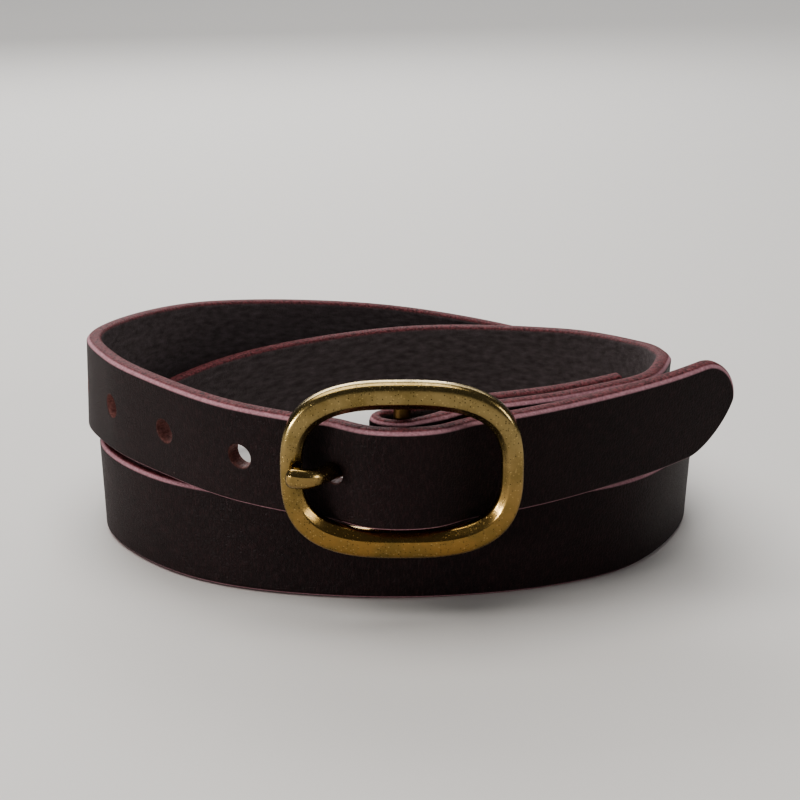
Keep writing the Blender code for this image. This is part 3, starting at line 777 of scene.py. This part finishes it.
def bar_axes():
    """Middle of the bar and the directions right, up the bar and towards the front."""
    lean = math.radians(BUCKLE_LEAN)
    x, y = front_place(0.0, -BAR_SETBACK)
    up_bar = Vector((0.0, -math.sin(lean), math.cos(lean)))
    place = Vector((x, y, FOLD_LOW + STRAP_WIDTH / 2)) + up_bar * STRAP_SITS_LOW
    out = Vector((0.0, -math.cos(lean), -math.sin(lean)))
    return place, Vector((1.0, 0.0, 0.0)), up_bar, out


def on_buckle(places):
    """World places in metres of places about the bar: right, up the bar and to the front."""
    origin, right, up_bar, out = (np.array(v) for v in bar_axes())
    local = np.array(places)
    return (origin + local[:, :1] * right + local[:, 1:2] * up_bar + local[:, 2:3] * out) * MM


def closed_rings(rings, cyclic):
    """A mesh of rings joined in order; the ends are joined if cyclic and capped if not."""
    count = len(rings[0])
    places = [p for ring in rings for p in ring]
    faces = []
    for i in range(len(rings) if cyclic else len(rings) - 1):
        a, b = i * count, (i + 1) % len(rings) * count
        faces += [(a + k, a + (k + 1) % count, b + (k + 1) % count, b + k) for k in range(count)]
    if not cyclic:
        faces.append(tuple(range(count)))
        faces.append(tuple(range((len(rings) - 1) * count, len(rings) * count)))
    mesh = bpy.data.meshes.new("rings")
    mesh.from_pydata([tuple(p) for p in on_buckle(places)], [], faces)
    face_outwards(mesh)
    return mesh


def make_frame():
    """The oval frame with its rounded outer edge and its sloping inner edge."""
    rings = []
    for i in range(OUTLINE_POINTS):
        turn = 2 * math.pi * (i + 0.5) / OUTLINE_POINTS
        outer = oval_place(turn, FRAME_WIDTH / 2, FRAME_HEIGHT / 2, OUTER_POWER)
        inner = oval_place(turn, FRAME_WIDTH / 2 - SIDE_RAIL, FRAME_HEIGHT / 2 - TOP_RAIL,
                           INNER_POWER)
        inward = (inner - outer) / np.linalg.norm(inner - outer)
        ring = []
        for side, reach, height in RAIL_SECTION:
            place = inner - inward * reach if side else outer + inward * reach
            ring.append((place[0], place[1], BAR_SETBACK + height))
        rings.append(ring)
    return closed_rings(rings, True)


BAR_END_INSET = 4.3
BAR_RINGS = 5
BAR_SEGMENTS = 32
LUG_OUTER_INSET = 3.8
LUG_OVERLAP = 0.2
LUG_HALF_WIDTH = 2.6
LUG_CORNER = 0.5
CORNER_STEPS = 4
# Rings of a lug from its rounded back to the frame: inset from its full size and distance in front
# of the bar.
LUG_RINGS = (
    (0.5, -2.2),
    (0.15, -2.05),
    (0.0, -1.7),
    (0.0, 4.7),
)


def lug_ring(half_width, low, high, depth):
    """Ring of a rectangle with rounded corners, at a distance in front of the bar."""
    right, left = half_width - LUG_CORNER, LUG_CORNER - half_width
    top, bottom = high - LUG_CORNER, low + LUG_CORNER
    ring = []
    for corner, (x, y) in enumerate(((right, top), (left, top), (left, bottom), (right, bottom))):
        for i in range(CORNER_STEPS + 1):
            turn = math.radians(90.0 * corner + 90.0 / CORNER_STEPS * i)
            ring.append((x + LUG_CORNER * math.cos(turn), y + LUG_CORNER * math.sin(turn), depth))
    return ring


def make_bar():
    """The centre bar and the two lugs that hold it behind the frame."""
    half = FRAME_HEIGHT / 2 - BAR_END_INSET
    rings = []
    for height in np.linspace(-half, half, BAR_RINGS):
        rings.append([(BAR_RADIUS * math.cos(a), height, BAR_RADIUS * math.sin(a))
                      for a in np.linspace(0.0, 2 * math.pi, BAR_SEGMENTS, endpoint=False)])
    pieces = [closed_rings(rings, False)]
    inner = FRAME_HEIGHT / 2 - TOP_RAIL + LUG_OVERLAP
    outer = FRAME_HEIGHT / 2 - LUG_OUTER_INSET
    for side in (1, -1):
        rings = []
        for inset, depth in LUG_RINGS:
            low, high = sorted((side * (inner + inset), side * (outer - inset)))
            rings.append(lug_ring(LUG_HALF_WIDTH - inset, low, high, depth))
        pieces.append(closed_rings(rings, False))
    return pieces


# Tongue: distance right of the bar, distance in front of it, half width along the bar and half
# thickness.
PRONG_STATIONS = (
    (-2.0, 3.10, 2.05, 1.45),
    (-5.5, 1.20, 2.05, 1.45),
    (-9.5, 0.00, 2.05, 1.45),
    (-13.0, 0.70, 2.10, 1.50),
    (-15.8, 3.20, 2.15, 1.55),
    (-18.0, 6.20, 2.10, 1.55),
    (-20.3, 8.90, 2.15, 1.60),
    (-22.6, 9.75, 2.35, 1.65),
    (-24.8, 9.80, 2.45, 1.60),
    (-25.9, 9.72, 2.25, 1.40),
    (-26.5, 9.62, 1.70, 0.95),
    (-26.8, 9.55, 0.90, 0.45),
)
# Half of the tongue's section as shares of its half width and half thickness: flat front, long
# bevel and rounded back.
PRONG_SECTION = (
    (0.40, 1.00),
    (0.48, 0.97),
    (0.90, 0.42),
    (0.98, 0.28),
    (1.00, 0.10),
    (1.00, -0.45),
    (0.94, -0.72),
    (0.78, -0.93),
    (0.55, -1.00),
)
PRONG_LOW = 2.6
PRONG_SKEW = -6.0
PRONG_STEPS = 5
EYE_WALL = 1.4
EYE_HALF_HEIGHT = 2.2
EYE_ROUND = 0.3
EYE_SEGMENTS = 48


def smooth_rows(knots, per_span):
    """Rows along a smooth curve through the given ones."""
    knots = np.array(knots)
    spans = np.linalg.norm(np.diff(knots[:, :2], axis=0), axis=1)
    marks = np.concatenate([[0.0], np.cumsum(spans)])
    slopes = np.gradient(knots, marks, axis=0)
    rows = []
    for i in range(len(knots) - 1):
        width = marks[i + 1] - marks[i]
        t = np.linspace(0.0, 1.0, per_span, endpoint=False)[:, None]
        rows.append(hermite(knots[i:i + 2], slopes[i:i + 2] * width, t))
    return np.vstack(rows + [knots[-1:]])


def prong_place(x, y, z):
    """A place on the prong about the bar, after its skew and drop."""
    turn = math.radians(PRONG_SKEW)
    cosine, sine = math.cos(turn), math.sin(turn)
    return x * cosine - y * sine, x * sine + y * cosine - PRONG_LOW, z


def make_prong():
    """The bevelled tongue with its blunt end over the rail, and its eye on the bar."""
    rows = smooth_rows(PRONG_STATIONS, PRONG_STEPS)
    along = np.gradient(rows[:, :2], axis=0)
    along /= np.linalg.norm(along, axis=1)[:, None]
    section = [*PRONG_SECTION, *((-across, out) for across, out in PRONG_SECTION[::-1])]
    rings = []
    for (x, z, half_width, half_thick), (dx, dz) in zip(rows, along):
        nx, nz = (-dz, dx) if dx >= 0 else (dz, -dx)
        rings.append([prong_place(x + nx * out * half_thick, across * half_width,
                                  z + nz * out * half_thick)
                      for across, out in section])
    tongue = closed_rings(rings, False)

    bore = BAR_RADIUS + GAP
    outer = bore + EYE_WALL
    full, short = EYE_HALF_HEIGHT, EYE_HALF_HEIGHT - EYE_ROUND
    near, far = bore + EYE_ROUND, outer - EYE_ROUND
    section = ((bore, -short), (bore, short), (near, full), (far, full),
               (outer, short), (outer, -short), (far, -full), (near, -full))
    rings = []
    for i in range(EYE_SEGMENTS):
        turn = 2 * math.pi * i / EYE_SEGMENTS
        rings.append([prong_place(radius * math.cos(turn), height, radius * math.sin(turn))
                      for radius, height in section])
    return [tongue, closed_rings(rings, True)]


def joined(name, parts):
    """One object from (surface, meshes) pairs, with the meshes kept as they are."""
    shape = bmesh.new()
    for index, (_, meshes) in enumerate(parts):
        first = len(shape.faces)
        for mesh in meshes:
            shape.from_mesh(mesh)
            bpy.data.meshes.remove(mesh)
        shape.faces.ensure_lookup_table()
        for face in shape.faces[first:]:
            face.material_index = index
    whole = bpy.data.meshes.new(name)
    shape.to_mesh(whole)
    shape.free()
    for surface, _ in parts:
        whole.materials.append(surface)
    whole.shade_smooth()
    whole.set_sharp_from_angle(angle=math.radians(BUCKLE_SHARP_ANGLE))
    return add_object(name, whole)


# ---------------------------------------------------------------- the belt
leather = leather_material()
buckle_brass = brass_material("buckle_brass", *BUCKLE_FINISH)
# The bar's darker brass is painted shade.
bar_brass_painted_shade = brass_material("bar_brass_painted_shade", *BAR_PAINTED_SHADE)
screw_brass = brass_material("screw_brass", *SCREW_FINISH)


def post_holes():
    """Clearance holes of the screw sets in the front layer and in the leg."""
    holes = []
    for reach in POST_DISTANCES:
        front = FOLD_MIDDLE + reach
        middle, _, outward = PATH.frames(np.array([front]))
        behind = middle[0] - outward[0] * (STRAP_THICKNESS + GAP)
        leg = PATH.nearest(behind[:2], 0.0, FOLD_MIDDLE)
        holes += [(front, 0.0, POST_CLEARANCE_RADIUS), (leg, 0.0, POST_CLEARANCE_RADIUS)]
    return holes


body_holes = post_holes()
body_holes.append((FOLD_MIDDLE, SLOT_SPINE, SLOT_RADIUS))
body_holes.append((PRONG_HOLE - PRONG_HOLE_SHIFT, PRONG_HOLE_SPINE, PRONG_HOLE_RADIUS))
body_holes += [(PRONG_HOLE - HOLE_SPACING * (i + 1), 0.0, HOLE_RADIUS) for i in range(FREE_HOLES)]
body_holes.sort()
body_blank = make_blank(0.0, END_PIECE_START, body_holes, False)
strap_body = strap_object("belt_strap", body_blank, leather)
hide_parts("strap")
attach(strap_body, "strap")

end_blank = make_blank(END_PIECE_START, PATH.length, [], True)
strap_end = strap_object("belt_free_end", end_blank, leather)
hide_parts("strap_tip")
bend_places = PATH.frames(np.array([END_PIECE_START + FLEX_START_INSET, FLEX_END]))[0] * MM
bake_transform(strap_end)

buckle = joined("brass_frame", [(buckle_brass, [make_frame()]), (bar_brass_painted_shade, make_bar())])
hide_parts("buckle_frame")
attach(buckle, "buckle")

tongue = joined("brass_prong", [(buckle_brass, make_prong())])
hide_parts("prong")
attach(tongue, "prong")

for node in ("post_near", "post_far", "screw_near", "screw_far"):
    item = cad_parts[node]
    item.data.materials.clear()
    item.data.materials.append(screw_brass)

# ---------------------------------------------------------------- floor, light and camera
FOCAL_LENGTH = 89.9
CAMERA_BACK = 521.4
CAMERA_HEIGHT = 182.1
CAMERA_DOWN = 16.2
CAMERA_SHIFT = -0.0024
NEAREST_SEEN = 0.05
WORLD_COLOUR = (0.80, 0.82, 0.85, 1.0)
WORLD_STRENGTH = 0.13
FLOOR_CORNERS = ((-4.0, -2.5, 0.0), (4.0, -2.5, 0.0), (4.0, 6.0, 0.0), (-4.0, 6.0, 0.0))

BELT_MIDDLE = (0.0, 0.0, 0.03)
WHITE = (1.0, 1.0, 1.0)
# Lights, in metres and watts: name, place, the place that it faces, size, power and colour.
LIGHTS = (
    ("key", (-0.22, -0.05, 1.00), BELT_MIDDLE, (0.9, 1.1), 12.0, (1.0, 0.97, 0.94)),
    ("left", (-1.00, -0.72, 0.08), BELT_MIDDLE, (0.45, 0.13), 8.5, (1.0, 0.98, 0.96)),
    ("back", (-0.25, 0.95, 0.55), BELT_MIDDLE, (0.9, 0.35), 5.0, WHITE),
    ("far_floor", (0.0, 1.60, 1.20), (0.0, 1.60, 0.0), (2.4, 1.0), 17.0, WHITE),
    ("right", (0.85, -0.45, 0.32), BELT_MIDDLE, (0.3, 0.4), 2.0, WHITE),
)


def make_floor():
    """A plain floor that reaches well past the view."""
    mesh = bpy.data.meshes.new("floor")
    mesh.from_pydata(FLOOR_CORNERS, [], [(0, 1, 2, 3)])
    mesh.materials.append(floor_material())
    return add_object("floor", mesh)


def area_light(name, place, target, size, power, colour):
    """A soft rectangular light that faces a target."""
    data = bpy.data.lights.new(name, "AREA")
    data.shape = "RECTANGLE"
    data.size, data.size_y = size
    data.energy = power
    data.color = colour
    made = add_object(name, data)
    made.location = place
    made.rotation_euler = (Vector(target) - Vector(place)).to_track_quat("-Z", "Y").to_euler()


make_floor()
for light in LIGHTS:
    area_light(*light)

world = bpy.data.worlds.new("studio")
world.use_nodes = True
background = world.node_tree.nodes["Background"]
background.inputs["Color"].default_value = WORLD_COLOUR
background.inputs["Strength"].default_value = WORLD_STRENGTH
bpy.context.scene.world = world
bpy.context.scene.view_settings.view_transform = "AgX"
bpy.context.scene.view_settings.look = "AgX - Medium High Contrast"

camera_data = bpy.data.cameras.new("camera")
camera_data.lens = FOCAL_LENGTH
camera_data.clip_start = NEAREST_SEEN
camera_data.shift_x = CAMERA_SHIFT
camera = add_object("camera", camera_data)
camera.location = (COIL_X * MM, (COIL_Y - CAMERA_BACK) * MM, CAMERA_HEIGHT * MM)
camera.rotation_euler = (math.radians(90.0 - CAMERA_DOWN), 0.0, 0.0)
bpy.context.scene.camera = camera
